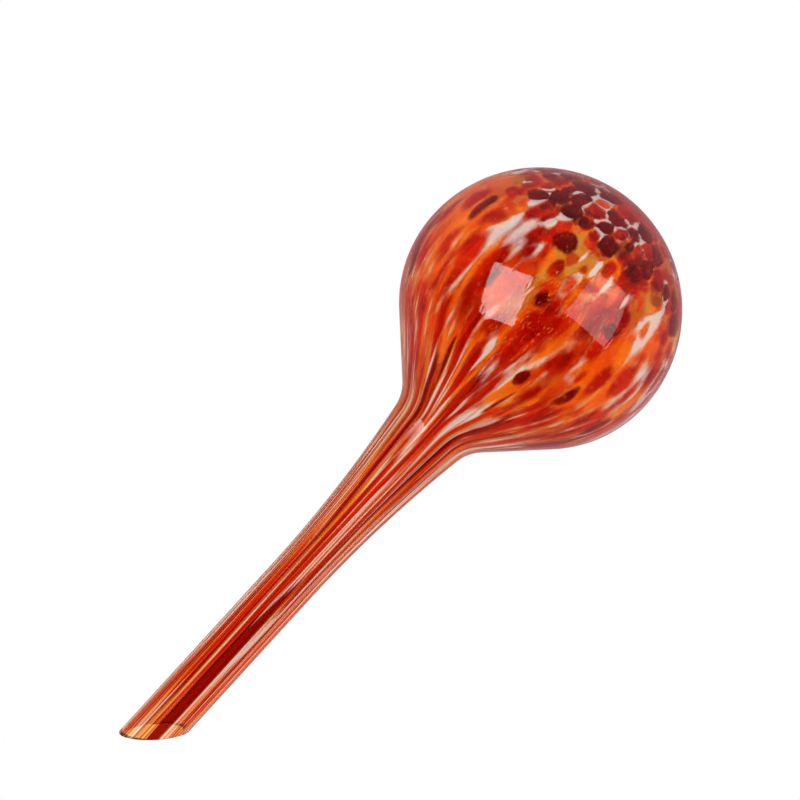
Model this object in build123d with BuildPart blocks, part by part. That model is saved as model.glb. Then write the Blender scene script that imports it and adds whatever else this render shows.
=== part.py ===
from build123d import *
import os
from math import acos, cos, degrees, radians, sin, tan

# Blown-glass watering globe: a clear bubble with coloured chips melted flush into its surface.
# Millimetres, +Z up along the stem. The bulb is up and the open stem points down.
# The origin is on the stem's axis, level with the tip of the slanted mouth.
# Angles are in degrees: "polar" is measured from the crown, "azimuth" round the axis from +X.

os.makedirs("parts", exist_ok=True)

# The bubble
overall_length = 196.0  # tip of the mouth to the top of the crown
bulb_diameter = 76.0
lower_bulb_radius = 35.0  # below its widest line the bulb is drawn in a little tighter
shoulder_slope = 45.0  # from the axis, where the bulb runs out to the neck
neck_radius = 11.0  # tight hollow curve between shoulder and neck
taper_radius = 345.0  # long hollow curve from the neck down to the stem
straight_length = 60.0  # stem below the taper, a true tube
stem_diameter = 13.9
wall = 1.2

# The mouth
mouth_slope = 43.0  # how steeply the cut climbs from its tip on the -X side
rim_rounding = 0.45  # fire-polished edge

# The coloured chips
chip_depth = 0.4  # how deep a chip lies in the wall
end_gap = 1.3  # clear glass between two streaks that follow each other down the globe
overrun = 5.0  # every cut starts this far outside the glass

# Crown: rings of small round chips, (polar, number in the ring)
crown_rings = [(8.5, 3), (21.5, 7), (34.5, 12), (48, 15)]
crown_radius_shares = [0.115, 0.09, 0.105, 0.082, 0.1]  # of the bulb's radius, in turn
crown_colours = ["maroon", "red", "orange", "maroon", "red", "orange", "maroon"]

# Belly to mouth: columns of drawn-out chips. Each list is dealt to the columns in turn.
column_count = 16
column_width_shares = [0.86, 0.76, 0.82, 0.72]  # of a column's share of the circle
head_polars = [68, 82, 71, 84]  # where the round head of a belly chip sits
head_width_share = 1.1  # a head is this much wider than its tail
filler_polar = 62.0  # round chip over each column whose head sits low
filler_share = 0.12  # its radius, of the bulb's radius
belly_foot_shares = [0.16, 0.36, 0.10, 0.28]  # down from the widest line, of the bulb's radius
shoulder_foot_shares = [0.84, 1.04, 0.78, 0.94]  # the same
neck_foot_shares = [0.55, 0.22, 0.80, 0.38]  # up the taper from the straight stem
belly_colours = ["orange", "red", "amber", "orange", "maroon", "orange", "red"]
shoulder_colours = ["red", "orange", "maroon", "amber", "orange"]
neck_colours = ["orange", "red", "orange", "maroon", "red", "amber"]
stem_colours = ["orange", "red", "orange", "maroon", "orange", "red", "red"]

bulb_radius = bulb_diameter / 2
stem_radius = stem_diameter / 2
bulb_height = overall_length - bulb_radius  # the bulb's centre and widest line
clear_meridian = 180 / column_count  # no chip lies on this line, where the turned surfaces close
# Rounding the sharp lip lifts it by this much, so the plane of the cut starts lower.
lip_loss = rim_rounding * (tan(radians(mouth_slope)) + 1 / cos(radians(mouth_slope)) - 1)

# Centres of the arcs in the side view. Each arc runs into the next without a corner.
lower_centre = Vector(bulb_radius - lower_bulb_radius, bulb_height)
taper_centre = Vector(stem_radius + taper_radius, straight_length)
shoulder_normal = Vector(cos(radians(shoulder_slope)), -sin(radians(shoulder_slope)))
shoulder_to_taper = (taper_centre - lower_centre).dot(shoulder_normal) - lower_bulb_radius
taper_turn = shoulder_slope - degrees(
    acos((shoulder_to_taper - neck_radius) / (taper_radius - neck_radius))
)
neck_centre = taper_centre + Vector(-cos(radians(taper_turn)), sin(radians(taper_turn))) * (
    taper_radius - neck_radius
)


def side_view(depth: float) -> Sketch:
    """Half of the globe's side view, drawn this deep under the outer surface of the glass."""
    with BuildSketch() as view:
        with BuildLine():
            crown = CenterArc((0, bulb_height), bulb_radius - depth, 0, 90)
            lower = CenterArc(
                lower_centre, lower_bulb_radius - depth, -shoulder_slope, shoulder_slope
            )
            neck = CenterArc(
                neck_centre,
                neck_radius + depth,
                180 - shoulder_slope,
                shoulder_slope - taper_turn,
            )
            taper = CenterArc(taper_centre, taper_radius + depth, 180 - taper_turn, taper_turn)
            Line(lower @ 0, neck @ 0)
            stem = Line(taper @ 1, (stem_radius - depth, -overrun))
            foot = Line(stem @ 1, (0, -overrun))
            Line(foot @ 1, crown @ 1)
        make_face()
    return view.sketch


outer_view = side_view(0)
inner_view = side_view(wall)
core_view = side_view(chip_depth)  # where the chips end
beyond_view = side_view(-overrun)  # outside the glass, where the cuts start


def meridian_plane(azimuth: float) -> Plane:
    """An upright plane through the axis: x runs outwards at this azimuth, and y runs up."""
    a = radians(azimuth)
    return Plane(origin=(0, 0, 0), x_dir=(cos(a), sin(a), 0), z_dir=(sin(a), -cos(a), 0))


def bulb_plane(polar: float, azimuth: float) -> Plane:
    """A plane just outside the bulb, square to its radius at this place."""
    p, a = radians(polar), radians(azimuth)
    out = Vector(sin(p) * cos(a), sin(p) * sin(a), cos(p))
    return Plane(origin=Vector(0, 0, bulb_height) + out * (bulb_radius + overrun), z_dir=out)


# The wall of glass, cut off at a slant and fire-polished, before any colour is let in
cut_plane = Plane(
    origin=(-stem_radius, 0, -lip_loss),
    z_dir=(-sin(radians(mouth_slope)), 0, cos(radians(mouth_slope))),
)
with BuildPart() as blown_wall:
    with BuildSketch(meridian_plane(clear_meridian)):
        add(outer_view)
        add(inner_view, mode=Mode.SUBTRACT)
    revolve(axis=Axis.Z)
    split(bisect_by=cut_plane, keep=Keep.TOP)
    fillet(blown_wall.edges().filter_by(GeomType.ELLIPSE), rim_rounding)

# All that lies deeper than the chips
with BuildPart() as core:
    with BuildSketch(meridian_plane(clear_meridian)):
        add(core_view)
    revolve(axis=Axis.Z)


def round_pockets(chips: list) -> Part:
    """Pockets for round chips on the bulb, one for each (polar, azimuth, radius)."""
    with BuildPart() as pockets:
        for polar, azimuth, radius in chips:
            with BuildSketch(bulb_plane(polar, azimuth)):
                Circle(radius)
        extrude(amount=-(overrun + bulb_radius / 2))
        add(core.part, mode=Mode.SUBTRACT)
    return pockets.part


def long_pockets(streaks: list) -> Part:
    """Pockets between two meridians, one for each (azimuth, angular width, top, foot)."""
    with BuildPart() as pockets:
        for azimuth, width, top, foot in streaks:
            with BuildSketch(meridian_plane(azimuth - width / 2)):
                add(beyond_view)
                add(core_view, mode=Mode.SUBTRACT)
                with Locations((0, foot)):
                    Rectangle(
                        bulb_diameter + 2 * overrun,
                        top - foot,
                        align=(Align.MIN, Align.MIN),
                        mode=Mode.INTERSECT,
                    )
            revolve(axis=Axis.Z, revolution_arc=width)
    return pockets.part


def fill(region: str, colour: str, pockets: list) -> None:
    """Fill pockets with chips of one colour and write them as one group."""
    with BuildPart() as chips:
        add(pockets)
        add(blown_wall.part, mode=Mode.INTERSECT)
    chips.part.label = f"{colour}_{region}"
    export_step(chips.part, f"parts/{colour}_{region}.step")
    print(chips.part.label, len(chips.part.solids()))
    all_pockets.extend(pockets)


def dealt(places: list, colours: list, colour: str) -> list:
    """The places that one colour gets when the colours are dealt round in turn."""
    return [p for k, p in enumerate(places) if colours[k % len(colours)] == colour]


# Where each chip lies
crown_chips = []
for polar, number in crown_rings:
    for k in range(number):
        azimuth = clear_meridian + 360 * (k + 0.5) / number
        share = crown_radius_shares[len(crown_chips) % len(crown_radius_shares)]
        crown_chips.append((polar, azimuth, share * bulb_radius))

belly_heads, belly_tails, shoulder_streaks, neck_streaks, stem_streaks = [], [], [], [], []
for k in range(column_count):
    azimuth = 360 * k / column_count
    width = column_width_shares[k % 4] * 360 / column_count
    head = radians(head_polars[k % 4])
    head_radius = bulb_radius * sin(head) * sin(radians(width / 2)) * head_width_share
    head_height = bulb_height + bulb_radius * cos(head)
    belly_foot = bulb_height - bulb_radius * belly_foot_shares[k % 4]
    shoulder_foot = bulb_height - bulb_radius * shoulder_foot_shares[k % 4]
    neck_foot = straight_length + neck_foot_shares[k % 4] * (neck_centre.Y - straight_length)
    belly_heads.append((head_polars[k % 4], azimuth, head_radius))
    belly_tails.append((azimuth, width, head_height, belly_foot))
    shoulder_streaks.append((azimuth, width, belly_foot - end_gap, shoulder_foot))
    neck_streaks.append((azimuth, width, shoulder_foot - end_gap, neck_foot))
    stem_streaks.append((azimuth, width, neck_foot - end_gap, -overrun))
    if k % 2:
        crown_chips.append((filler_polar, azimuth, filler_share * bulb_radius))

# The chips themselves, a group for each colour of a region
all_pockets = []
for colour in sorted(set(crown_colours)):
    fill("crown_chips", colour, [round_pockets(dealt(crown_chips, crown_colours, colour))])
for colour in sorted(set(belly_colours)):
    with BuildPart() as belly_pockets:
        add(long_pockets(dealt(belly_tails, belly_colours, colour)))
        add(round_pockets(dealt(belly_heads, belly_colours, colour)))
    fill("belly_chips", colour, [belly_pockets.part])
for colour in sorted(set(shoulder_colours)):
    streaks = dealt(shoulder_streaks, shoulder_colours, colour)
    fill("shoulder_streaks", colour, [long_pockets(streaks)])
for colour in sorted(set(neck_colours)):
    fill("neck_streaks", colour, [long_pockets(dealt(neck_streaks, neck_colours, colour))])
for colour in sorted(set(stem_colours)):
    fill("stem_streaks", colour, [long_pockets(dealt(stem_streaks, stem_colours, colour))])

# The clear bubble, with a pocket for every chip
with BuildPart() as clear_bubble:
    add(blown_wall.part)
    add(all_pockets, mode=Mode.SUBTRACT)
clear_bubble.part.label = "clear_bubble"
export_step(clear_bubble.part, "parts/clear_bubble.step")
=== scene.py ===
"""Blown-glass watering globe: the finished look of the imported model, in metres, +Z up along the stem.

The globe is one blown bubble. Chips of coloured glass were melted into its surface, and the
bubble was then drawn out into a neck and a stem, which drew the chips out into streaks. So the
chips are laid on a round bubble here as well. Each place of the vessel keeps the azimuth (round the
axis, from +X) and the polar angle (from the crown) that it had on that bubble.
"""

import logging
import math
from dataclasses import dataclass, field
from enum import Enum
from typing import Any, NamedTuple

import bpy
import numpy as np
from mathutils import Matrix, Vector, noise


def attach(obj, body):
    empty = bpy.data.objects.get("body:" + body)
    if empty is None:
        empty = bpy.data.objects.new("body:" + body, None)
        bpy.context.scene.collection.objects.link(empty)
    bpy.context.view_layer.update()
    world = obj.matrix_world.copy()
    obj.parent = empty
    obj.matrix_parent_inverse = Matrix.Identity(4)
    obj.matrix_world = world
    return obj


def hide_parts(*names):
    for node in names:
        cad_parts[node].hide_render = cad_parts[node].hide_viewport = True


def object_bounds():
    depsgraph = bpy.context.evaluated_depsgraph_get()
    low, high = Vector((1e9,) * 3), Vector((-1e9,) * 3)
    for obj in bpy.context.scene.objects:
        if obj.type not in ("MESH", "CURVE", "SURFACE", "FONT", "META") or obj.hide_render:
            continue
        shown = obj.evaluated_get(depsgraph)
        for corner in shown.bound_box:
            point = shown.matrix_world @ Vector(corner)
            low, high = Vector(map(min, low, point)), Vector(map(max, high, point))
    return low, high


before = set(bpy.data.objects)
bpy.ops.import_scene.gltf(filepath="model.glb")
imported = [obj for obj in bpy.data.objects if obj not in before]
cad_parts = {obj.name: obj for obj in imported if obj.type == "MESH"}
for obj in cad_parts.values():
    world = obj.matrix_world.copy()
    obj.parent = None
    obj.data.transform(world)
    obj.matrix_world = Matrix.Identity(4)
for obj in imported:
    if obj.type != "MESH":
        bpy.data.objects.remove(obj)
CAD_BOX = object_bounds()
MM = 0.001  # in metres
WHITE = (1.0, 1.0, 1.0, 1.0)
SHARE, UNDER, OVER, MIXED = 0, 6, 7, 2  # sockets of a node that mixes two colours
Point = tuple[float, float]  # radius and height in the side view
LOG = logging.getLogger("watering_globe")


class Colour(Enum):
    """Colours of the glass that was melted in, light and deep, as one wall lets light through."""

    AMBER = ("#ffc450", "#ffa028")
    ORANGE = ("#ffaa3e", "#f67a1c")
    RED = ("#e6420b", "#b41602")
    MAROON = ("#b81c08", "#640602")

    @property
    def attribute(self) -> str:
        """Name of the vessel's attribute for how far a place lies inside chips of this colour."""
        return f"reach_{self.name.lower()}"


def linear(code: str) -> tuple[float, ...]:
    """Turns a colour from sRGB hex to linear light.

    Args:
        code: the colour as "#rrggbb".

    Returns:
        Red, green, blue and an alpha of 1.
    """
    shares = [int(code[i : i + 2], 16) / 255 for i in (1, 3, 5)]
    return (*[s / 12.92 if s <= 0.04045 else ((s + 0.055) / 1.055) ** 2.4 for s in shares], 1.0)


def add_node(
    tree: bpy.types.NodeTree, kind: str, inputs: dict | None = None, output: int | str = 0, **settings: Any
) -> bpy.types.NodeSocket | None:
    """Adds one node to a tree.

    Args:
        tree: the node tree of a material, a lamp or the world.
        kind: the node's type, without the words that all types begin with.
        inputs: for each socket, its value or the output socket that is linked to it.
        output: which of its output sockets is wanted.
        settings: values of the node's own properties.

    Returns:
        The output socket, or None where the node has none.
    """
    made = tree.nodes.new("ShaderNode" + kind)
    for name, value in settings.items():
        setattr(made, name, value)
    for socket, value in (inputs or {}).items():
        if isinstance(value, bpy.types.NodeSocket):
            tree.links.new(value, made.inputs[socket])
        else:
            made.inputs[socket].default_value = value
    return made.outputs[output] if made.outputs else None


@dataclass(frozen=True)
class Fade:
    """A change from one value to another while some measure goes from low to high."""

    low: float
    high: float
    start: float = 0.0
    end: float = 1.0

    def at(self, measure: float | np.ndarray) -> float | np.ndarray:
        """The value at a measure or at an array of them, eased in and out."""
        share = np.clip((measure - self.low) / (self.high - self.low), 0, 1)
        return self.start + (self.end - self.start) * (share * share * (3 - 2 * share))

    def inputs(self, measure: bpy.types.NodeSocket) -> dict[str, Any]:
        """The inputs of a node that does the same to a socket."""
        names = ("Value", "From Min", "From Max", "To Min", "To Max")
        return dict(zip(names, (measure, self.low, self.high, self.start, self.end)))


@dataclass
class SideView:
    """Half of the bubble's side view: arcs and a straight stem that run into each other."""

    bulb_radius: float = (CAD_BOX[1].x - CAD_BOX[0].x) / 2
    overall_length: float = CAD_BOX[1].z - CAD_BOX[0].z
    stem_radius: float = 6.95 * MM
    wall: float = 1.2 * MM
    lower_bulb_radius: float = 35.0 * MM
    shoulder_slope: float = math.radians(45)  # from the axis, where the bulb runs out to the neck
    neck_radius: float = 11.0 * MM
    taper_radius: float = 345.0 * MM
    straight_length: float = 60.0 * MM
    row_pitch: float = 1.25 * MM  # between two rows of the mesh
    bulb_height: float = field(init=False)  # of the bulb's centre and widest line
    lower_centre: Vector = field(init=False)
    neck_centre: Vector = field(init=False)
    taper_centre: Vector = field(init=False)
    taper_turn: float = field(init=False)  # how far the taper leans out at the neck
    shoulder_out: Vector = field(init=False)  # square to the shoulder, outwards

    def __post_init__(self) -> None:
        """Works out the arcs' centres and turns."""
        self.bulb_height = self.overall_length - self.bulb_radius
        self.lower_centre = Vector((self.bulb_radius - self.lower_bulb_radius, self.bulb_height))
        self.taper_centre = Vector((self.stem_radius + self.taper_radius, self.straight_length))
        self.shoulder_out = Vector((math.cos(self.shoulder_slope), -math.sin(self.shoulder_slope)))
        across = (self.taper_centre - self.lower_centre).dot(self.shoulder_out) - self.lower_bulb_radius
        reach = self.taper_radius - self.neck_radius
        self.taper_turn = self.shoulder_slope - math.acos((across - self.neck_radius) / reach)
        turned = Vector((-math.cos(self.taper_turn), math.sin(self.taper_turn)))
        self.neck_centre = self.taper_centre + turned * reach

    def arc(self, centre: Vector, radius: float, start: float, end: float) -> list[Point]:
        """Points round an arc, one row pitch apart.

        Args:
            centre: the arc's centre, as radius and height.
            radius: the arc's radius.
            start: angle of its first point.
            end: angle of its last point, which is left out.

        Returns:
            The points, as (radius, height).
        """
        steps = max(2, round(abs(end - start) * radius / self.row_pitch))
        angles = [start + (end - start) * k / steps for k in range(steps)]
        return [(centre.x + radius * math.cos(a), centre.y + radius * math.sin(a)) for a in angles]

    def outline(self) -> list[Point]:
        """Draws the outer surface from the crown down to the mouth.

        Returns:
            Its points, as (radius, height).
        """
        crown_centre = Vector((0, self.bulb_height))
        points = self.arc(crown_centre, self.bulb_radius, math.pi / 2, 0)
        points += self.arc(self.lower_centre, self.lower_bulb_radius, 0, -self.shoulder_slope)
        upper = self.lower_centre + self.lower_bulb_radius * self.shoulder_out
        lower = self.neck_centre - self.neck_radius * self.shoulder_out
        steps = max(1, round((lower - upper).length / self.row_pitch))
        points += [tuple(upper.lerp(lower, k / steps)) for k in range(steps)]
        neck_start, neck_end = math.pi - self.shoulder_slope, math.pi - self.taper_turn
        points += self.arc(self.neck_centre, self.neck_radius, neck_start, neck_end)
        points += self.arc(self.taper_centre, self.taper_radius, neck_end, math.pi)
        steps = round(self.straight_length / self.row_pitch)
        stem = [self.straight_length * (1 - k / steps) for k in range(steps + 1)]
        return points + [(self.stem_radius, height) for height in stem]


VIEW = SideView()


@dataclass(frozen=True)
class Drawing:
    """How far the bubble was drawn out: where each height lay on the round bubble before."""

    pull_start: float = math.radians(66)  # polar angle where the glass starts to be drawn
    pull_at_widest: float = 2.5  # how many times as long the glass was drawn there
    pull_power: float = 1.15  # how the pull grows as the bubble narrows

    def undrawn_polars(self, outline: list[Point]) -> np.ndarray:
        """Polar angle that each point of the outline had on the round bubble.

        Args:
            outline: points of the side view from the crown down, as (radius, height).

        Returns:
            One angle for each point.
        """
        points = np.array(outline)
        steps = np.hypot(*np.diff(points, axis=0).T)
        middle = (points[1:] + points[:-1]) / 2
        above = middle[:, 1] >= VIEW.bulb_height
        polar = np.arctan2(middle[:, 0], middle[:, 1] - VIEW.bulb_height)
        early = Fade(self.pull_start, math.pi / 2, 1, self.pull_at_widest).at(polar)
        late = self.pull_at_widest * (VIEW.bulb_radius / middle[:, 0]) ** self.pull_power
        pull = np.where(above, early, late)
        return np.concatenate([[0], np.cumsum(steps / (VIEW.bulb_radius * pull))])


@dataclass(frozen=True)
class Chip:
    """A chip of glass, placed by where it shows in the photograph's view, turned upright."""

    across: float  # to the right of the bulb's centre, in shares of its radius
    up: float  # above the bulb's centre, in shares of its radius
    size_mm: float  # across, before the bubble was drawn
    colour: Colour | None  # None is clear glass
    pull: float = 1.0  # how much longer than wide it is, before the bubble was drawn


# The chips that stand out on the photographed side
TOP_CHIPS = [
    Chip(-0.18, 0.87, 5.6, Colour.MAROON),
    Chip(0.01, 0.86, 5.6, Colour.RED),
    Chip(0.17, 0.84, 5.6, Colour.MAROON),
    Chip(0.33, 0.79, 5.4, Colour.MAROON),
    Chip(0.49, 0.73, 5.0, Colour.RED),
    Chip(-0.34, 0.80, 5.6, Colour.MAROON),
    Chip(-0.04, 0.765, 5.0, Colour.MAROON),
    Chip(-0.50, 0.70, 4.8, Colour.RED),
    Chip(-0.31, 0.70, 4.4, Colour.MAROON),
    Chip(-0.175, 0.70, 5.2, Colour.RED),
    Chip(-0.05, 0.66, 4.4, Colour.MAROON),
    Chip(0.06, 0.69, 4.4, Colour.RED),
    Chip(0.145, 0.68, 3.4, Colour.MAROON),
    Chip(0.23, 0.69, 4.0, Colour.RED),
    Chip(0.335, 0.655, 5.0, Colour.MAROON),
    Chip(0.45, 0.645, 4.6, Colour.RED),
    Chip(-0.635, 0.61, 4.4, Colour.RED),
    Chip(-0.43, 0.62, 4.6, Colour.MAROON),
    Chip(-0.55, 0.53, 5.0, Colour.MAROON),
    Chip(-0.30, 0.585, 4.6, Colour.MAROON),
    Chip(-0.17, 0.59, 3.6, Colour.MAROON),
    Chip(-0.075, 0.565, 3.4, Colour.RED),
    Chip(0.04, 0.575, 5.8, Colour.MAROON),
    Chip(0.18, 0.575, 4.8, Colour.RED),
    Chip(0.29, 0.56, 4.6, Colour.MAROON),
    Chip(0.40, 0.54, 3.4, Colour.RED),
    Chip(-0.42, 0.475, 4.4, Colour.RED),
    Chip(-0.19, 0.40, 5.7, Colour.MAROON),
    Chip(-0.385, 0.305, 5.4, Colour.RED),
    Chip(-0.33, 0.185, 3.8, Colour.RED),
    Chip(-0.12, 0.22, 3.4, Colour.RED),
    Chip(0.60, 0.33, 2.2, Colour.ORANGE, 2.4),
    Chip(-0.04, 0.38, 2.4, None, 4.0),
    Chip(0.08, 0.40, 2.4, None, 4.0),
    Chip(0.21, 0.37, 2.4, None, 4.5),
    Chip(0.37, 0.37, 2.4, None, 4.0),
    Chip(0.57, 0.50, 3.4, None),
    Chip(0.53, 0.36, 3.0, None, 1.5),
    Chip(0.67, 0.36, 3.0, None, 1.5),
    Chip(0.61, 0.22, 3.4, None),
    Chip(-0.45, 0.29, 4.0, None, 1.6),
    Chip(-0.47, 0.45, 2.0, Colour.RED),
    Chip(-0.40, 0.40, 1.4, Colour.MAROON),
    Chip(-0.50, 0.36, 1.2, Colour.RED),
    Chip(-0.30, 0.47, 2.8, None),
    Chip(-0.285, 0.23, 2.6, None),
    Chip(-0.68, 0.44, 4.4, Colour.RED),
    Chip(-0.66, 0.21, 5.6, Colour.RED, 0.8),
    Chip(-0.84, 0.26, 6.0, Colour.RED),
    Chip(-0.04, -0.01, 4.4, Colour.MAROON, 0.5),
    Chip(0.05, -0.26, 9.0, Colour.RED, 1.3),
    Chip(0.315, -0.21, 6.2, Colour.RED),
    Chip(-0.17, -0.30, 5.0, Colour.RED),
    Chip(-0.31, -0.18, 4.0, None),
    Chip(-0.30, -0.02, 6.0, None),
    Chip(-0.22, -0.14, 5.0, None),
    Chip(-0.45, -0.12, 5.0, Colour.RED, 2.2),
    Chip(0.20, -0.46, 4.0, Colour.MAROON, 0.5),
    Chip(0.157, 0.052, 6.6, Colour.RED),
    Chip(0.297, 0.07, 6.6, Colour.RED),
    Chip(0.42, 0.035, 6.0, Colour.RED),
    Chip(0.14, 0.262, 3.6, Colour.RED),
    Chip(0.45, 0.27, 4.0, Colour.RED),
    Chip(0.735, 0.0, 5.5, Colour.RED, 0.8),
    Chip(0.62, 0.14, 5.0, None),
    Chip(0.84, 0.21, 6.4, Colour.RED),
    Chip(-0.29, -0.47, 3.8, Colour.RED, 2.4),
    Chip(0.52, -0.36, 3.6, Colour.MAROON, 0.9),
    Chip(-0.63, -0.105, 6.0, Colour.RED, 1.6),
    Chip(0.75, 0.52, 6.4, Colour.MAROON),
    Chip(0.14, -3.4, 15.0, Colour.MAROON, 0.24),
    Chip(-0.18, -2.3, 7.0, Colour.RED, 0.7),
    Chip(-0.02, -1.9, 6.0, Colour.RED, 0.7),
    Chip(-0.55, -2.9, 6.0, Colour.RED, 0.6),
]
GROUND_CHIPS = [
    Chip(-0.445, 0.33, 4.6, None, 2.2),
    Chip(-0.44, 0.08, 3.4, None, 2.2),
    Chip(0.02, 0.21, 3.2, None, 1.6),
    Chip(-0.10, -0.52, 3.0, None, 1.6),
    Chip(0.61, 0.36, 8.0, None, 2.0),
    Chip(-0.04, 0.38, 1.5, None, 5.0),
    Chip(0.08, 0.40, 1.5, None, 5.0),
    Chip(0.21, 0.36, 1.5, None, 6.0),
    Chip(0.37, 0.36, 1.5, None, 5.0),
    Chip(0.02, 0.42, 4.0, Colour.AMBER, 3.0),
    Chip(0.145, 0.40, 4.0, Colour.ORANGE, 3.0),
    Chip(0.29, 0.38, 4.0, Colour.ORANGE, 3.0),
    Chip(0.49, 0.68, 4.0, None),
    Chip(0.57, 0.59, 3.6, None),
    Chip(-0.66, 0.55, 4.0, None),
    Chip(0.63, 0.22, 2.6, None, 1.6),
    Chip(-0.30, 0.53, 4.0, None),
    Chip(-0.36, 0.40, 3.6, None, 1.6),
    Chip(-0.30, 0.24, 3.0, None, 1.4),
    Chip(-0.24, 0.66, 4.4, None),
    Chip(-0.03, 0.60, 4.4, None),
    Chip(0.35, 0.68, 4.4, None),
    Chip(-0.52, 0.62, 4.4, None),
    Chip(-0.175, 0.24, 9.0, Colour.AMBER, 1.4),
    Chip(-0.08, 0.36, 8.0, Colour.AMBER, 1.4),
    Chip(-0.70, 0.05, 9.0, Colour.ORANGE, 1.5),
    Chip(-0.58, 0.32, 7.0, Colour.AMBER, 1.8),
    Chip(0.10, 0.20, 5.0, Colour.AMBER, 2.4),
    Chip(-0.08, -0.12, 8.0, Colour.ORANGE, 1.4),
    Chip(0.50, -0.10, 8.0, Colour.ORANGE, 1.4),
    Chip(-0.36, -0.22, 7.0, Colour.ORANGE, 1.6),
    Chip(-0.26, -0.08, 7.0, Colour.ORANGE, 1.6),
    Chip(0.22, -0.16, 7.0, Colour.ORANGE, 1.6),
    Chip(0.35, -2.2, 8.0, None, 0.3),
    Chip(0.48, -3.0, 5.0, None, 0.4),
    Chip(-0.62, -2.4, 9.0, Colour.ORANGE, 0.4),
    Chip(-0.30, -1.9, 8.0, Colour.AMBER, 0.4),
]


@dataclass(frozen=True)
class PhotoView:
    """The camera of the photograph, and what it sees upright."""

    azimuth: float = math.radians(-17)
    roll: float = math.radians(42.43)  # the stem leans this far in the picture
    lens_mm: float = 100.0
    scale: float = 3.757 / MM  # pixels of the photograph for a metre at the globe
    picture: float = 800.0  # pixels across
    bulb_pixel: tuple[float, float] = (538.6, 310.6)  # where the bulb's centre is in the photograph
    sensor_mm: float = 36.0

    @property
    def right(self) -> Vector:
        """To the right in the upright view."""
        return Vector((math.cos(self.azimuth), math.sin(self.azimuth), 0))

    @property
    def toward(self) -> Vector:
        """From the globe to the camera."""
        return Vector((math.sin(self.azimuth), -math.cos(self.azimuth), 0))

    def direction(self, across: float, up: float, toward: float) -> Vector:
        """A direction given in the upright view, in the frame."""
        return self.right * across + Vector((0, 0, up)) + self.toward * toward

    def on_bulb(self, across: float, up: float) -> Vector:
        """The direction of a place on the near side of the bulb, from shares of its radius."""
        return self.direction(across, up, math.sqrt(max(0, 1 - across**2 - up**2)))

    def build(self) -> None:
        """Adds the camera."""
        lean_right = self.right * math.cos(self.roll) + Vector((0, 0, math.sin(self.roll)))
        lean_up = self.right * -math.sin(self.roll) + Vector((0, 0, math.cos(self.roll)))
        centre = self.picture / 2
        shift_right = (centre - self.bulb_pixel[0]) / self.scale
        shift_up = (self.bulb_pixel[1] - centre) / self.scale
        aim = Vector((0, 0, VIEW.bulb_height)) + lean_right * shift_right + lean_up * shift_up
        distance = self.picture / self.scale * self.lens_mm / self.sensor_mm
        bpy.ops.object.camera_add(location=aim + self.toward * distance)
        camera = bpy.context.object
        camera.data.lens = self.lens_mm
        camera.data.sensor_width = self.sensor_mm
        camera.rotation_euler = Matrix((lean_right, lean_up, self.toward)).transposed().to_euler()
        bpy.context.scene.camera = camera


class MeltedChip(NamedTuple):
    """A chip where it was melted into the round bubble."""

    direction: Vector  # from the bubble's centre
    size: float
    pull: float
    colour: Colour | None


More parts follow.
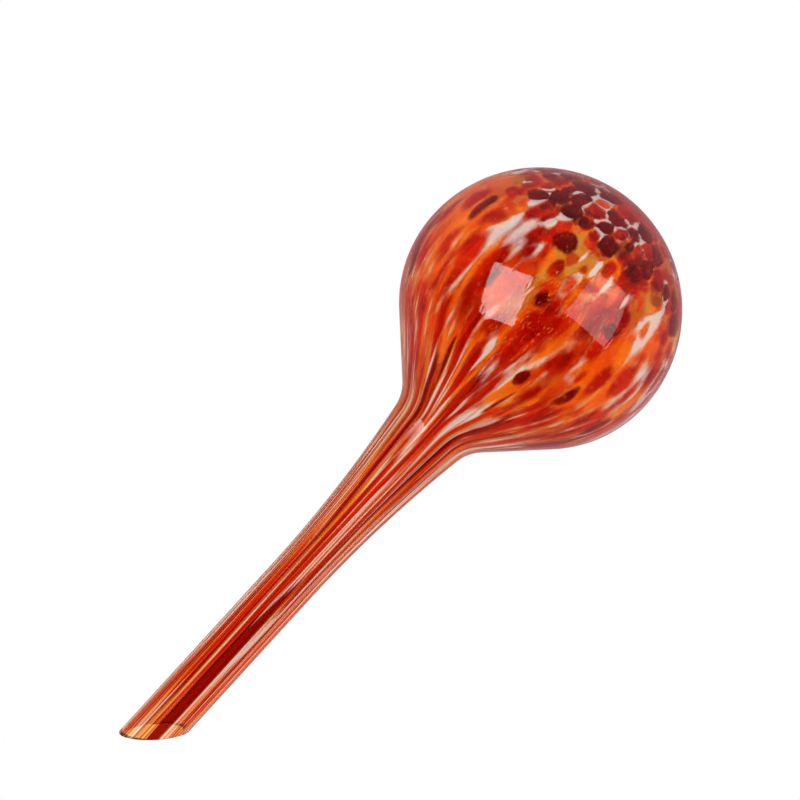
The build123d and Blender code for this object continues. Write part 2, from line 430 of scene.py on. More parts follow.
@dataclass(frozen=True)
class Scatter:
    """The chips of one layer: those that are listed, and more that were thrown between them."""

    seed: int
    placed: list[Chip]
    least_gap: float  # between the middles of two thrown chips of mean size
    sizes: tuple[float, float]  # least and most
    zones: list[tuple]  # (polar angle where it ends, in degrees, share of each colour thrown on it)
    pull: tuple[float, float]  # least and most
    throws: int = 7000
    smallness: float = 1.5  # the more, the smaller most of the thrown chips are
    # How wide and how long the chips of neck and stem are, beside those of the bulb
    fine_width: Fade = Fade(math.radians(70), math.radians(100), 1, 0.62)
    fine_pull: Fade = Fade(math.radians(70), math.radians(100), 1, 2.0)
    end_polar: float = math.radians(125)  # no chip is thrown beyond it

    def unit(self, polar: float, azimuth: float) -> Vector:
        """The direction at a polar angle and an azimuth."""
        across = math.sin(polar)
        return Vector((across * math.cos(azimuth), across * math.sin(azimuth), math.cos(polar)))

    def lay_by_hand(
        self, outline: list[Point], polars: np.ndarray, camera: PhotoView
    ) -> list[MeltedChip]:
        """Lays the chips that are listed.

        Args:
            outline: the side view's points, from the crown down.
            polars: the polar angle that each of them had on the round bubble.
            camera: the photograph's view, which the chips' places refer to.

        Returns:
            The chips.
        """
        heights = [point[1] for point in outline]
        laid = []
        for chip in self.placed:
            if chip.up < -1:  # on the stem, where across is a share of the stem's own radius
                out = camera.direction(chip.across, 0, math.sqrt(1 - chip.across**2))
            else:
                out = camera.on_bulb(chip.across, chip.up)
            height = VIEW.bulb_height + VIEW.bulb_radius * chip.up
            polar = float(np.interp(height, heights[::-1], polars[::-1]))
            direction = self.unit(polar, math.atan2(out.y, out.x))
            laid.append(MeltedChip(direction, chip.size_mm * MM, chip.pull, chip.colour))
        return laid

    def colour_at(self, polar: float, pick: float) -> Colour | None:
        """Picks a thrown chip's colour.

        Args:
            polar: the polar angle where it fell.
            pick: a number from 0 to 1 that settles the colour.

        Returns:
            The colour, or None for clear glass.
        """
        mix = next(mix for end, mix in self.zones if math.degrees(polar) <= end)
        edges = np.cumsum(list(mix.values()))
        return list(mix)[int(np.searchsorted(edges / edges[-1], pick))]

    def lay(
        self, outline: list[Point], polars: np.ndarray, camera: PhotoView
    ) -> list[MeltedChip]:
        """Lays all the chips. One that falls too near another isn't kept.

        Args:
            outline: the side view's points, from the crown down.
            polars: the polar angle that each of them had on the round bubble.
            camera: the photograph's view.

        Returns:
            The chips.
        """
        laid = self.lay_by_hand(outline, polars, camera)
        places = [tuple(chip.direction) for chip in laid]
        breadths = [chip.size for chip in laid]
        near = self.least_gap / sum(self.sizes) / VIEW.bulb_radius
        least, most = self.sizes
        shortest, longest = self.pull
        dice = np.random.default_rng(self.seed)
        for drop, turn, bulk, stretch, pick in dice.random((self.throws, 5)):
            polar = math.acos(1 - drop * (1 - math.cos(self.end_polar)))
            out = self.unit(polar, turn * math.tau)
            size = (least + (most - least) * bulk**self.smallness) * self.fine_width.at(polar)
            apart = np.linalg.norm(np.array(places) - np.array(out), axis=1)
            if (apart < near * (np.array(breadths) + size)).any():
                continue
            pull = (shortest + (longest - shortest) * stretch) * self.fine_pull.at(polar)
            laid.append(MeltedChip(out, size, pull, self.colour_at(polar, pick)))
            places.append(tuple(out))
            breadths.append(size)
        return laid


@dataclass(frozen=True)
class Layer:
    """One layer of chips, and how far each one spread in the heat."""

    scatter: Scatter
    gap: tuple[float, float]  # between two chips, on the bulb and where the glass was drawn out
    reference: float  # size of a chip that takes its share of the room, no more
    spread: float | None = None  # how far a chip spreads where none stops it, in shares of its size
    crown_spread: float = 0.2  # how much farther on the crown
    crown_edge: Fade = Fade(math.radians(50), math.radians(60))
    gap_polars: tuple[float, float] = (math.radians(75), math.radians(105))  # where the gap changes
    stretching: Fade = Fade(math.radians(12), math.radians(42))  # chips stay round at the very top

    @staticmethod
    def axes(polar: np.ndarray, azimuth: np.ndarray) -> tuple[np.ndarray, ...]:
        """Works out the axes at places on the round bubble.

        Args:
            polar: the polar angle of each place.
            azimuth: the azimuth of each place.

        Returns:
            The directions outwards, down the bubble and round it, one row for each place.
        """
        sin_p, cos_p, sin_a, cos_a = np.sin(polar), np.cos(polar), np.sin(azimuth), np.cos(azimuth)
        out = np.stack([sin_p * cos_a, sin_p * sin_a, cos_p], axis=1)
        down = np.stack([cos_p * cos_a, cos_p * sin_a, -sin_p], axis=1)
        aside = np.stack([-sin_a, cos_a, np.zeros(len(polar))], axis=1)
        return out, down, aside

    def reaches(
        self, chips: list[MeltedChip], polar: np.ndarray, azimuth: np.ndarray
    ) -> dict[Colour, np.ndarray]:
        """How far places on the round bubble lie inside the chips of each colour.

        Args:
            chips: the layer's chips.
            polar: the polar angle of each place.
            azimuth: the azimuth of each place.

        Returns:
            For each colour, the millimetres inside its nearest chip, negative outside.
        """
        out, down, aside = self.axes(polar, azimuth)
        centres = np.array([tuple(chip.direction) for chip in chips])
        sizes = np.array([chip.size for chip in chips])
        pulls = np.array([chip.pull for chip in chips])
        along = (down @ centres.T) / (1 + np.outer(self.stretching.at(polar), pulls - 1))
        away = np.sqrt(along**2 + (aside @ centres.T) ** 2 + (1 - out @ centres.T) ** 2)
        far = away * VIEW.bulb_radius * self.reference / sizes
        gap = Fade(*self.gap_polars, *self.gap).at(polar)
        clear = np.array([chip.colour is None for chip in chips])
        nearest_clear = far[:, clear].min(axis=1)
        first, second = np.partition(far[:, ~clear], 1, axis=1)[:, :2].T
        found = {}
        for colour in Colour:
            own = np.array([chip.colour is colour for chip in chips])
            if not own.any():
                continue
            nearest = far[:, own].min(axis=1)
            rival = np.minimum(np.where(nearest <= first, second, first) - gap, nearest_clear)
            reach = (rival - nearest) / 2
            if self.spread is not None:
                spread = self.spread + self.crown_spread * (1 - self.crown_edge.at(polar))
                reach = np.minimum(reach, self.reference * spread - nearest)
            found[colour] = reach / MM
        return found


# Large soft chips as a ground, and over them the smaller ones that stand out
LAYERS = (
    Layer(
        Scatter(
            seed=4,
            placed=GROUND_CHIPS,
            least_gap=6.0 * MM,
            sizes=(6.0 * MM, 11.0 * MM),
            zones=[
                (24, {Colour.RED: 0.7, Colour.MAROON: 0.3}),
                (52, {None: 0.6, Colour.ORANGE: 0.3, Colour.AMBER: 0.1}),
                (180, {Colour.ORANGE: 0.5, Colour.AMBER: 0.25, Colour.RED: 0.19, None: 0.06}),
            ],
            pull=(1.6, 3.2),
        ),
        gap=(-1.0 * MM, 0.2 * MM),
        reference=8.0 * MM,
    ),
    Layer(
        Scatter(
            seed=9,
            placed=TOP_CHIPS,
            least_gap=4.9 * MM,
            sizes=(2.8 * MM, 7.0 * MM),
            zones=[
                (24, {Colour.RED: 0.5, Colour.MAROON: 0.4, None: 0.1}),
                (50, {Colour.RED: 0.44, Colour.MAROON: 0.42, Colour.ORANGE: 0.14}),
                (88, {Colour.RED: 0.42, Colour.MAROON: 0.05, None: 0.53}),
                (104, {Colour.RED: 0.5, Colour.MAROON: 0.15, None: 0.35}),
                (180, {Colour.RED: 0.3, Colour.MAROON: 0.1, None: 0.6}),
            ],
            pull=(1.0, 1.7),
        ),
        gap=(0.55 * MM, 0.4 * MM),
        reference=5.0 * MM,
        spread=0.58,
    ),
)


class Patterns(NamedTuple):
    """Sockets that several parts of the glass read. They are drawn out with the glass."""

    undrawn: bpy.types.NodeSocket  # place on the round bubble, in millimetres
    height: bpy.types.NodeSocket  # the same above the bulb's centre
    drawn: bpy.types.NodeSocket  # 1 where the glass was drawn out, 0 on the bulb
    whole: bpy.types.NodeSocket  # the other way round
    wander: bpy.types.NodeSocket  # noise from 0 to 1 that the chips' edges follow
    split: bpy.types.NodeSocket  # noise round 0 that splits drawn glass into fine streaks


@dataclass(frozen=True)
class BlownGlass:
    """Soda-lime glass, blown and fire-polished, with chips of coloured glass melted in."""

    # Such glass is smooth all over, so it mirrors bright things sharply. Light comes through both
    # of its walls and takes the colours of their chips, and the clear glass between stays pale.
    ior: float = 1.5
    roughness: float = 0.02
    clear_hex: str = "#fffaf5"
    gap_clarity: float = 0.6  # share of the light that clear glass lets through unscattered
    chip_clarity: float = 0.975  # the same for a chip
    thinning: float = 0.6  # share of its depth that a colour loses where it was drawn out

    # Edges of the chips, in millimetres
    edge_wobble: float = 0.55  # how far an edge wanders
    streak_wobble: float = 1.8  # the same where the glass was drawn out into fine lines
    wander_scale: float = 0.33  # one wave in 3 mm
    wander_detail: float = 5.0
    detail_loss: float = 4.5  # how much of that detail goes where the glass was drawn out
    crisp_heights: Fade = Fade(8, 26, 0.75, 1.6)  # by the height above the bulb's centre
    crisp_streaks: float = 0.8  # how much crisper streaks are
    softness: dict[Colour, float] = field(
        default_factory=lambda: {
            Colour.AMBER: 0.5, Colour.ORANGE: 0.7, Colour.RED: 0.8, Colour.MAROON: 0.45
        }
    )  # width of a chip's blurred edge

    # How deep the colours are
    tone_scale: float = 0.16  # one wave in 6 mm
    tone_detail: float = 2.0
    tone_depths: Fade = Fade(0.36, 0.62, 0.12, 0.95)
    streak_depth: float = 1.6
    grain_scale: float = 2.2  # one wave in half a millimetre
    grain_detail: float = 2.0
    grain_lights: Fade = Fade(0.5, 0.72, 0.1, 0.9)

    # Pale specks
    speck_hex: str = "#ffd9b8"
    speck_scale: float = 1.9  # one wave in half a millimetre
    speck_strengths: Fade = Fade(0.61, 0.7, 0, 0.5)

    # Painted shade and painted reflection: a darker mauve mixed into the colour where the glass is seen at
    # a slant, more on the crown
    painted_slant_shade_and_reflection_hex: str = "#a44c42"
    painted_shade_slants: Fade = Fade(0.42, 0.92)
    painted_shade_heights: Fade = Fade(24, 36, 0.2, 0.9)  # by the height above the bulb's centre

    # The surface over the chips
    relief: float = 0.5
    relief_depth: float = 0.12 * MM
    relief_wander: float = 0.8

    def patterns(self, tree: bpy.types.NodeTree) -> Patterns:
        """Adds the patterns that several parts of the glass read.

        Args:
            tree: the material's node tree.

        Returns:
            Their sockets.
        """
        undrawn = add_node(tree, "Attribute", output="Vector", attribute_name="undrawn")
        streaks = add_node(tree, "Attribute", output="Vector", attribute_name="streaks")
        drawn = add_node(tree, "Attribute", output="Fac", attribute_name="drawn")
        # The finest detail fades where it would be drawn out too fine to see
        fading = {0: drawn, 1: -self.detail_loss, 2: self.wander_detail}
        detail = add_node(tree, "Math", fading, operation="MULTIPLY_ADD")
        wandering = {"Vector": undrawn, "Scale": self.wander_scale, "Detail": detail}
        fine = add_node(tree, "TexNoise", {"Vector": streaks, "Scale": 1.0, "Detail": 1.0})
        centred = add_node(tree, "Math", {0: fine, 1: 0.5}, operation="SUBTRACT")
        return Patterns(
            undrawn=undrawn,
            height=add_node(tree, "SeparateXYZ", {"Vector": undrawn}, output="Z"),
            drawn=drawn,
            whole=add_node(tree, "Math", {0: 1.0, 1: drawn}, operation="SUBTRACT"),
            wander=add_node(tree, "TexNoise", wandering),
            split=add_node(tree, "Math", {0: centred, 1: drawn}, operation="MULTIPLY"),
        )

    def depths(self, tree: bpy.types.NodeTree, patterns: Patterns) -> tuple[bpy.types.NodeSocket, ...]:
        """Adds how deep the colour of a chip is from place to place.

        Args:
            tree: the material's node tree.
            patterns: the glass's patterns.

        Returns:
            The sockets for chips of most colours and for the maroon ones, which have a fine grain.
        """
        undrawn = patterns.undrawn
        waves = {"Vector": undrawn, "Scale": self.tone_scale, "Detail": self.tone_detail}
        tone = self.tone_depths.inputs(add_node(tree, "TexNoise", waves))
        even = add_node(tree, "MapRange", tone, interpolation_type="SMOOTHSTEP")
        lines = add_node(tree, "Math", {0: patterns.split, 1: self.streak_depth}, operation="MULTIPLY")
        toned = add_node(tree, "Math", {0: even, 1: lines}, operation="ADD")
        waves = {"Vector": undrawn, "Scale": self.grain_scale, "Detail": self.grain_detail}
        grain = self.grain_lights.inputs(add_node(tree, "TexNoise", waves))
        lights = add_node(tree, "MapRange", grain, interpolation_type="SMOOTHSTEP")
        speckle = add_node(tree, "Math", {0: lights, 1: patterns.whole}, operation="MULTIPLY")
        grained = add_node(tree, "Math", {0: 1.0, 1: speckle}, operation="SUBTRACT")
        return toned, grained

    def insides(
        self, tree: bpy.types.NodeTree, patterns: Patterns
    ) -> dict[Colour, bpy.types.NodeSocket]:
        """Adds how far a place lies inside the chips of each colour, edges and all.

        Args:
            tree: the material's node tree.
            patterns: the glass's patterns.

        Returns:
            For each colour, the socket, in millimetres and negative outside.
        """
        # The noise swings by about a quarter to either side of a half
        swing = {0: patterns.wander, 1: 4 * self.edge_wobble, 2: -2 * self.edge_wobble}
        edge = add_node(tree, "Math", swing, operation="MULTIPLY_ADD")
        streaky = {0: patterns.split, 1: self.streak_wobble, 2: edge}
        wobble = add_node(tree, "Math", streaky, operation="MULTIPLY_ADD")
        # The chips of the belly spent longer in the heat, so their edges are softer
        heights = self.crisp_heights.inputs(patterns.height)
        bulb = add_node(tree, "MapRange", heights, interpolation_type="SMOOTHSTEP")
        sharper = {0: patterns.drawn, 1: self.crisp_streaks, 2: bulb}
        crisp = add_node(tree, "Math", sharper, operation="MULTIPLY_ADD")
        found = {}
        for colour in Colour:
            reach = add_node(tree, "Attribute", output="Fac", attribute_name=colour.attribute)
            moved = add_node(tree, "Math", {0: reach, 1: wobble}, operation="ADD")
            found[colour] = add_node(tree, "Math", {0: moved, 1: crisp}, operation="MULTIPLY")
        return found

    def chips(self, tree: bpy.types.NodeTree, patterns: Patterns) -> tuple[bpy.types.NodeSocket, ...]:
        """Adds the colours of the chips, the darker ones over the lighter ones.

        Args:
            tree: the material's node tree.
            patterns: the glass's patterns.

        Returns:
            The sockets of the colour and of how far a chip of any colour covers the place.
        """
        toned, grained = self.depths(tree, patterns)
        # Colour that was drawn out lies thinner and lets more light through
        thinner = {0: patterns.drawn, 1: -self.thinning, 2: 1.0}
        thinned = add_node(tree, "Math", thinner, operation="MULTIPLY_ADD")
        shade, coverage = linear(self.clear_hex), 0.0
        for colour, inside in self.insides(tree, patterns).items():
            soft = self.softness[colour]
            blur = Fade(-soft / 2, soft).inputs(inside)
            mask = add_node(tree, "MapRange", blur, interpolation_type="SMOOTHSTEP")
            thick = grained if colour is Colour.MAROON else toned
            depth = add_node(tree, "Math", {0: thick, 1: thinned}, operation="MULTIPLY")
            light, deep = (linear(code) for code in colour.value)
            tint = {SHARE: depth, UNDER: light, OVER: deep}
            glass = add_node(tree, "Mix", tint, MIXED, data_type="RGBA")
            laid = {SHARE: mask, UNDER: shade, OVER: glass}
            shade = add_node(tree, "Mix", laid, MIXED, data_type="RGBA")
            coverage = add_node(tree, "Math", {0: coverage, 1: mask}, operation="MAXIMUM")
        return shade, coverage

    def specks(self, tree: bpy.types.NodeTree, patterns: Patterns) -> bpy.types.NodeSocket:
        """Adds how strongly the pale specks show: bits of glass too small to melt down.

        Args:
            tree: the material's node tree.
            patterns: the glass's patterns.

        Returns:
            Its socket.
        """
        waves = {"Vector": patterns.undrawn, "Scale": self.speck_scale, "Detail": 1.0}
        peaks = self.speck_strengths.inputs(add_node(tree, "TexNoise", waves))
        strength = add_node(tree, "MapRange", peaks, interpolation_type="SMOOTHSTEP")
        return add_node(tree, "Math", {0: strength, 1: patterns.whole}, operation="MULTIPLY")

    def painted_slant_shade_and_reflection(self, tree: bpy.types.NodeTree, patterns: Patterns) -> bpy.types.NodeSocket:
        """Adds how strongly a painted shade and reflection, dark mauve, covers the colours where the wall
        is seen at a slant, more on the crown.

        Args:
            tree: the material's node tree.
            patterns: the glass's patterns.

        Returns:
            Its socket.
        """
        facing = add_node(tree, "LayerWeight", {"Blend": 0.5}, output="Facing")
        slants = self.painted_shade_slants.inputs(facing)
        slant = add_node(tree, "MapRange", slants, interpolation_type="SMOOTHSTEP")
        heights = self.painted_shade_heights.inputs(patterns.height)
        crown = add_node(tree, "MapRange", heights, interpolation_type="SMOOTHSTEP")
        return add_node(tree, "Math", {0: slant, 1: crown}, operation="MULTIPLY")

    def normal(
        self, tree: bpy.types.NodeTree, patterns: Patterns, coverage: bpy.types.NodeSocket
    ) -> bpy.types.NodeSocket:
        """Adds the slight rise of the surface over each chip of the bulb.

        Args:
            tree: the material's node tree.
            patterns: the glass's patterns.
            coverage: how far a chip covers the place.

        Returns:
            The socket of the surface's normal.
        """
        uneven = {0: patterns.wander, 1: self.relief_wander, 2: coverage}
        rise = add_node(tree, "Math", uneven, operation="MULTIPLY_ADD")
        height = add_node(tree, "Math", {0: patterns.whole, 1: rise}, operation="MULTIPLY")
        bump = {"Strength": self.relief, "Distance": self.relief_depth, "Height": height}
        return add_node(tree, "Bump", bump)

    def material(self) -> bpy.types.Material:
        """Builds the material.

        Returns:
            The material, which reads the vessel's own attributes.
        """
        made = bpy.data.materials.new("blown_glass_with_melted_chips")
        made.use_nodes = True
        tree = made.node_tree
        tree.nodes.clear()
        patterns = self.patterns(tree)
        shade, coverage = self.chips(tree, patterns)
        over = {SHARE: self.specks(tree, patterns), UNDER: shade, OVER: linear(self.speck_hex)}
        shade = add_node(tree, "Mix", over, MIXED, data_type="RGBA")
        # Painted shade and reflection: the colour turns a darker mauve where the glass is seen at a slant
        over = {SHARE: self.painted_slant_shade_and_reflection(tree, patterns), UNDER: shade, OVER: linear(self.painted_slant_shade_and_reflection_hex)}
        shade = add_node(tree, "Mix", over, MIXED, data_type="RGBA")
        clarity = add_node(
            tree, "MapRange", Fade(0, 1, self.gap_clarity, self.chip_clarity).inputs(coverage)
        )
        glass = add_node(
            tree,
            "BsdfPrincipled",
            {
                "Base Color": shade,
                "Transmission Weight": clarity,
                "Normal": self.normal(tree, patterns, coverage),
                "Roughness": self.roughness,
                "IOR": self.ior,
            },
        )
        add_node(tree, "OutputMaterial", {"Surface": glass})
        return made


@dataclass(frozen=True)
class Globe:
    """The blown vessel: bulb, neck and stem in one wall of glass, with its chips."""

    columns: int = 240
    mouth_slope: float = math.radians(43)
    slant_top: float = 40.0 * MM  # rows lean with the mouth up to here
    rim_radius: float = 0.45 * MM
    rim_rows: int = 3
    ripple: float = 0.07 * MM  # unevenness of hand-blown glass
    ripple_length: float = 14.0 * MM
    merge_distance: float = 0.001 * MM
    drawn_polars: Fade = Fade(math.radians(75), math.radians(115))  # from bulb to drawn glass
    streak_turn: float = 8.0  # waves of the fine streaks for a radian round the glass
    streak_drop: float = 7.0  # the same for a radian of polar angle
    layers: tuple[Layer, ...] = LAYERS
    glass: BlownGlass = BlownGlass()
    blocks: int = 24  # the vertices are worked through in this many lots, to spare memory

    def places(self, vessel: bpy.types.Object) -> np.ndarray:
        """Reads where the vessel's vertices are.

        Args:
            vessel: the vessel.

        Returns:
            Their places, one row each.
        """
        places = np.empty(len(vessel.data.vertices) * 3)
        vessel.data.vertices.foreach_get("co", places)
        return places.reshape(-1, 3)

    def move(self, vessel: bpy.types.Object, places: np.ndarray) -> None:
        """Puts the vessel's vertices at these places."""
        vessel.data.vertices.foreach_set("co", places.ravel())
        vessel.data.update()

    def store(self, vessel: bpy.types.Object, name: str, values: np.ndarray) -> None:
        """Keeps a number or a vector for each vertex, as an attribute that the glass can read."""
        kind, slot = ("FLOAT", "value") if values.ndim == 1 else ("FLOAT_VECTOR", "vector")
        vessel.data.attributes.new(name, kind, "POINT").data.foreach_set(slot, values.ravel())

    def section(self) -> tuple[list[Point], list[float]]:
        """The wall's section from the outer crown round the mouth to the inner crown.

        Returns:
            The points as (radius, height), and the polar angle each had on the round bubble.
        """
        outer = VIEW.outline()
        polars = Drawing().undrawn_polars(outer)
        points = np.array(outer)
        along = np.gradient(points, axis=0)
        along /= np.linalg.norm(along, axis=1)[:, None]
        inward = np.stack([along[:, 1], -along[:, 0]], axis=1)
        inward[0] = (0, -1)  # straight down at the crown
        inner = points + inward * VIEW.wall
        turns = [math.pi / 2 * k / (self.rim_rows + 1) for k in range(self.rim_rows + 2)]
        lip = [
            (VIEW.stem_radius - self.rim_radius * (1 - math.cos(t)), self.rim_radius * (1 - math.sin(t)))
            for t in turns
        ]
        mirror = 2 * VIEW.stem_radius - VIEW.wall
        lip += [(mirror - r, z) for r, z in lip[::-1]]
        high = points[:, 1] > self.rim_radius
        body = [tuple(p) for p in points[high]]
        lining = [tuple(p) for p in inner[high]][::-1]
        angles = list(polars[high])
        return body + lip + lining, angles + [polars[-1]] * len(lip) + angles[::-1]

    def blow(self) -> bpy.types.Object:
        """Draws the section and spins it.

        Returns:
            The vessel, with a level mouth.
        """
        points, polars = self.section()
        bpy.ops.object.select_all(action="DESELECT")
        bpy.ops.mesh.primitive_circle_add(vertices=len(points), radius=VIEW.bulb_radius)
        vessel = bpy.context.object
        vessel.name = vessel.data.name = "blown_vessel"
        section = vessel.data
        for vertex, (radius, height) in zip(section.vertices, points):
            vertex.co = (radius, 0, height)
        self.store(vessel, "polar", np.array(polars))
        # The circle is opened between the outer and the inner crown
        bpy.ops.object.mode_set(mode="EDIT")
        bpy.ops.mesh.select_all(action="DESELECT")
        bpy.ops.mesh.select_mode(type="EDGE")
        bpy.ops.object.mode_set(mode="OBJECT")
        for edge in section.edges:
            edge.select = {0, len(points) - 1} == set(edge.vertices)
        bpy.ops.object.mode_set(mode="EDIT")
        bpy.ops.mesh.delete(type="EDGE")
        bpy.ops.object.mode_set(mode="OBJECT")
        spin = vessel.modifiers.new("spin", "SCREW")
        spin.steps = spin.render_steps = self.columns
        spin.use_merge_vertices = True
        spin.merge_threshold = self.merge_distance
        bpy.ops.object.modifier_apply(modifier=spin.name)
        bpy.ops.object.mode_set(mode="EDIT")
        bpy.ops.mesh.select_all(action="SELECT")
        bpy.ops.mesh.remove_doubles(threshold=self.merge_distance)
        bpy.ops.mesh.normals_make_consistent(inside=False)
        bpy.ops.object.mode_set(mode="OBJECT")
        bpy.ops.object.shade_smooth()
        return vessel

    def melt_in(self, vessel: bpy.types.Object, camera: PhotoView) -> None:
        """Stores how far each vertex lies inside the chips of each colour.

        Args:
            vessel: the vessel, before its mouth is leant.
            camera: the photograph's view.
        """
        count = len(vessel.data.vertices)
        places = self.places(vessel)
        azimuth = np.arctan2(places[:, 1], places[:, 0])
        polar = np.empty(count)
        vessel.data.attributes["polar"].data.foreach_get("value", polar)
        self.store(vessel, "undrawn", Layer.axes(polar, azimuth)[0] * VIEW.bulb_radius / MM)
        turn, drop = self.streak_turn, self.streak_drop
        round_the_glass = [turn * np.cos(azimuth), turn * np.sin(azimuth), drop * polar]
        self.store(vessel, "streaks", np.stack(round_the_glass, axis=1))
        self.store(vessel, "drawn", self.drawn_polars.at(polar))
        outline = VIEW.outline()
        polars = Drawing().undrawn_polars(outline)
        reaches = {colour: np.full(count, -np.inf) for colour in Colour}
        for layer in self.layers:
            chips = layer.scatter.lay(outline, polars, camera)
            LOG.info("layer with %d chips", len(chips))
            for block in np.array_split(np.arange(count), self.blocks):
                for colour, reach in layer.reaches(chips, polar[block], azimuth[block]).items():
                    reaches[colour][block] = np.maximum(reaches[colour][block], reach)
        for colour, reach in reaches.items():
            self.store(vessel, colour.attribute, reach)

    def lean_mouth(self, vessel: bpy.types.Object) -> None:
        """Leans the rows by the mouth, so that the last one lies in the slanted cut.

        Args:
            vessel: the vessel with a level mouth.
        """
        places = self.places(vessel)
        low = places[:, 2] < self.slant_top
        tan = math.tan(self.mouth_slope)
        loss = self.rim_radius * (1 + tan - 1 / math.cos(self.mouth_slope))  # by rounding the tip
        rise = (places[:, 0] + VIEW.stem_radius) * tan - loss
        places[low, 2] += (rise * (1 - places[:, 2] / self.slant_top))[low]
        self.move(vessel, places)

    def roughen(self, vessel: bpy.types.Object) -> None:
        """Gives the wall the slight ripple of hand-blown glass, always inwards.

        Args:
            vessel: the vessel with its attributes.
        """
        places = self.places(vessel)
        normals, undrawn = np.empty(places.size), np.empty(places.size)
        vessel.data.vertex_normals.foreach_get("vector", normals)
        vessel.data.attributes["undrawn"].data.foreach_get("vector", undrawn)
        undrawn = undrawn.reshape(-1, 3) * MM / self.ripple_length
        waves = np.array([noise.noise(Vector(place)) for place in undrawn])
        places -= normals.reshape(-1, 3) * (self.ripple * (0.5 + 0.5 * waves))[:, None]
        self.move(vessel, places)

    def build(self, camera: PhotoView) -> bpy.types.Object:
        """Builds the vessel and dresses it in its glass.

        Args:
            camera: the photograph's view, which the listed chips refer to.

        Returns:
            The vessel.
        """
        vessel = self.blow()
        self.melt_in(vessel, camera)
        self.lean_mouth(vessel)
        self.roughen(vessel)
        vessel.data.materials.append(self.glass.material())
        return vessel


@dataclass(frozen=True)
class SoftBox:
    """An upright soft box that only reflections see. Its angles are in degrees."""

    name: str
    turn: float  # from the camera round to its middle, to the right positive
    low: float  # elevation of its lower edge, seen from the bulb's centre
    high: float  # the same of its upper edge
    width: float  # the angle it fills
    lean: float  # how far it is turned to the left about its own middle
    radiance: float  # how bright it is, where white is 1
    distance: float = 1.0  # from the globe's axis
    lit_above: float = 112.0 * MM  # it shows on the bulb and its neck only
    lit_edge: float = 3.0 * MM  # it fades in from this far below to as far above
    turned: Fade = Fade(0.5, 0.75)  # cosine between the way the glass faces and the way to the box

    def build(self, camera: PhotoView) -> None:
        """Adds the lamp.

        Args:
            camera: the photograph's view, which the turn starts from.
        """
        turn = math.radians(self.turn)
        away = camera.direction(math.sin(turn), 0, math.cos(turn))
        foot = self.distance * math.tan(math.radians(self.low))
        head = self.distance * math.tan(math.radians(self.high))
        place = away * self.distance + Vector((0, 0, VIEW.bulb_height + (foot + head) / 2))
        bpy.ops.object.light_add(type="AREA", location=place)
        lamp = bpy.context.object
        lamp.name = self.name
        lamp.data.shape = "RECTANGLE"
        lamp.data.size = 2 * self.distance * math.tan(math.radians(self.width / 2))
        lamp.data.size_y = head - foot
        lamp.data.energy = self.radiance * lamp.data.size * lamp.data.size_y * math.pi
        upright = away.to_track_quat("Z", "Y").to_matrix()
        leant = Matrix.Rotation(math.radians(self.lean), 3, away)
        lamp.rotation_euler = (leant @ upright).to_euler()
        lamp.visible_diffuse = lamp.visible_transmission = lamp.visible_camera = False
        self.spare_outline(lamp.data, away)

    def spare_outline(self, lamp: bpy.types.Light, away: Vector) -> None:
        """Lets the box show only on the bulb where it is turned to it, so no outline is lost.

        Args:
            lamp: the lamp's data.
            away: the level direction from the globe's axis to it.
        """
        lamp.use_nodes = True
        tree = lamp.node_tree
        tree.nodes.clear()
        start = add_node(tree, "NewGeometry", output="Position")
        back = add_node(tree, "NewGeometry", output="Incoming")
        length = add_node(tree, "LightPath", output="Ray Length")
        # The place on the glass that mirrors the box lies back along the ray
        way = {0: back, 1: length, 2: start}
        place = add_node(tree, "VectorMath", way, operation="MULTIPLY_ADD")
        level = add_node(tree, "VectorMath", {0: place, 1: (1, 1, 0)}, operation="MULTIPLY")
        outward = add_node(tree, "VectorMath", {0: level}, operation="NORMALIZE")
        facing = add_node(
            tree, "VectorMath", {0: outward, 1: away}, output="Value", operation="DOT_PRODUCT"
        )
        height = {
            "Value": add_node(tree, "SeparateXYZ", {"Vector": place}, output="Z"),
            "From Min": self.lit_above - self.lit_edge,
            "From Max": self.lit_above + self.lit_edge,
            "To Max": add_node(tree, "MapRange", self.turned.inputs(facing)),
        }
        light = add_node(tree, "Emission", {"Strength": add_node(tree, "MapRange", height)})
        add_node(tree, "OutputLight", {"Surface": light})


@dataclass(frozen=True)
class FloorPaint:
    """Matt white emulsion, rolled on: it gives soft shadows and no gloss."""

    def material(self) -> bpy.types.Material:
        """Builds the material.

        Returns:
            The material.
        """
        made = bpy.data.materials.new("white_studio_floor")
        made.use_nodes = True
        tree = made.node_tree
        tree.nodes.clear()
        matt = add_node(tree, "BsdfDiffuse", {"Color": WHITE})
        add_node(tree, "OutputMaterial", {"Surface": matt})
        return made


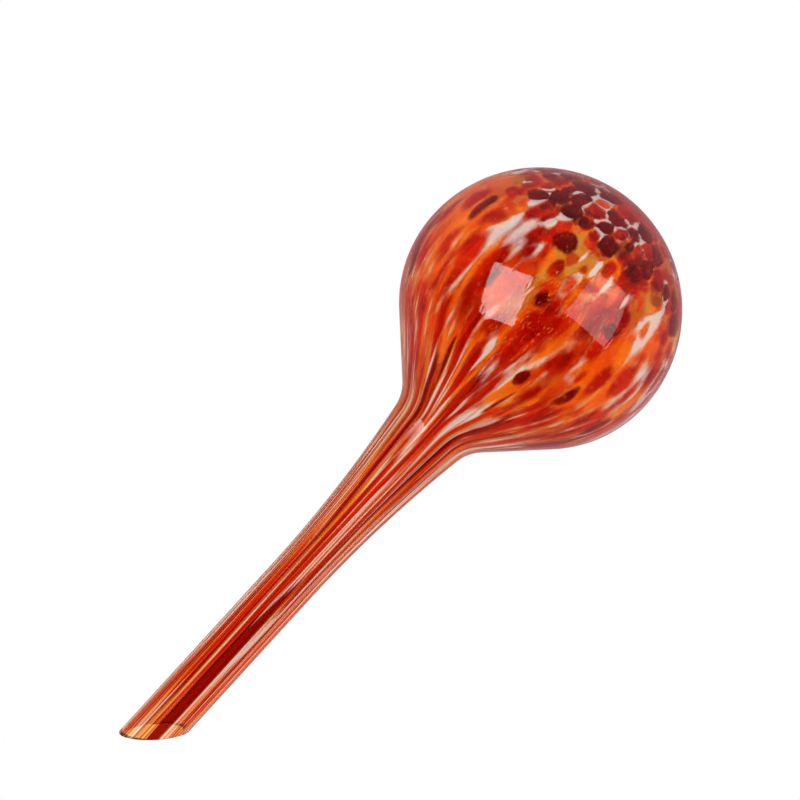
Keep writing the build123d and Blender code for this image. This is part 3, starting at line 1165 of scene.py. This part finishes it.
@dataclass(frozen=True)
class Studio:
    """Plain white studio: even light, two soft boxes and a floor."""

    floor_drop: float = 120.0 * MM  # below the tip, so that its shadow is out of the picture
    floor_size: float = 6.0
    near_room_hex: str = "#2a1c1c"
    far_room_hex: str = "#bf8c95"
    room_tilt: float = 0.5  # how far above level the room is lightest, as a slope
    room_fade: Fade = Fade(-0.7, 0.9)  # from near to far, by how far a reflection runs backwards
    boxes: tuple[SoftBox, ...] = (
        SoftBox("wide_soft_box", turn=-30, low=-35, high=8, width=34, lean=17, radiance=6.0),
        SoftBox("tall_soft_box", turn=37, low=9, high=51, width=44, lean=0, radiance=2.4),
    )

    def world(self, camera: PhotoView) -> None:
        """Adds even white light. Reflections see a dim room, mauve and lighter behind and above.

        Args:
            camera: the photograph's view, which the room is turned to.
        """
        made = bpy.data.worlds.new("studio")
        made.use_nodes = True
        bpy.context.scene.world = made
        tree = made.node_tree
        tree.nodes.clear()
        # A ray that went through the glass counts as glossy too, and sees white
        glossy = add_node(tree, "LightPath", output="Is Glossy Ray")
        through = add_node(tree, "LightPath", output="Is Transmission Ray")
        mirrored = add_node(tree, "Math", {0: glossy, 1: through}, operation="SUBTRACT", use_clamp=True)
        way = add_node(tree, "TexCoord", output="Generated")
        lightest = camera.direction(0, self.room_tilt, -1)
        behind = add_node(
            tree, "VectorMath", {0: way, 1: lightest}, output="Value", operation="DOT_PRODUCT"
        )
        bright = add_node(
            tree, "MapRange", self.room_fade.inputs(behind), interpolation_type="SMOOTHSTEP"
        )
        walls = {SHARE: bright, UNDER: linear(self.near_room_hex), OVER: linear(self.far_room_hex)}
        room = add_node(tree, "Mix", walls, MIXED, data_type="RGBA")
        seen = {SHARE: mirrored, UNDER: WHITE, OVER: room}
        lit = add_node(tree, "Background", {"Color": add_node(tree, "Mix", seen, MIXED, data_type="RGBA")})
        add_node(tree, "OutputWorld", {"Surface": lit})

    def floor(self) -> None:
        """Adds the floor."""
        bpy.ops.mesh.primitive_plane_add(size=self.floor_size, location=(0, 0, -self.floor_drop))
        made = bpy.context.object
        made.name = "floor"
        made.visible_glossy = False
        made.data.materials.append(FloorPaint().material())

    def build(self, camera: PhotoView) -> None:
        """Builds the studio round the globe.

        Args:
            camera: the photograph's view.
        """
        bpy.context.scene.view_settings.view_transform = "Standard"
        self.world(camera)
        self.floor()
        for box in self.boxes:
            box.build(camera)


def main() -> None:
    """Builds the camera, the studio and the globe."""
    logging.basicConfig(level=logging.INFO, format="%(name)s: %(message)s")
    camera = PhotoView()
    camera.build()
    Studio().build(camera)
    vessel = Globe().build(camera)
    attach(vessel, "root")
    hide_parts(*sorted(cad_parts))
    LOG.info("%s: %d faces", vessel.name, len(vessel.data.polygons))


if __name__ == "__main__":
    main()
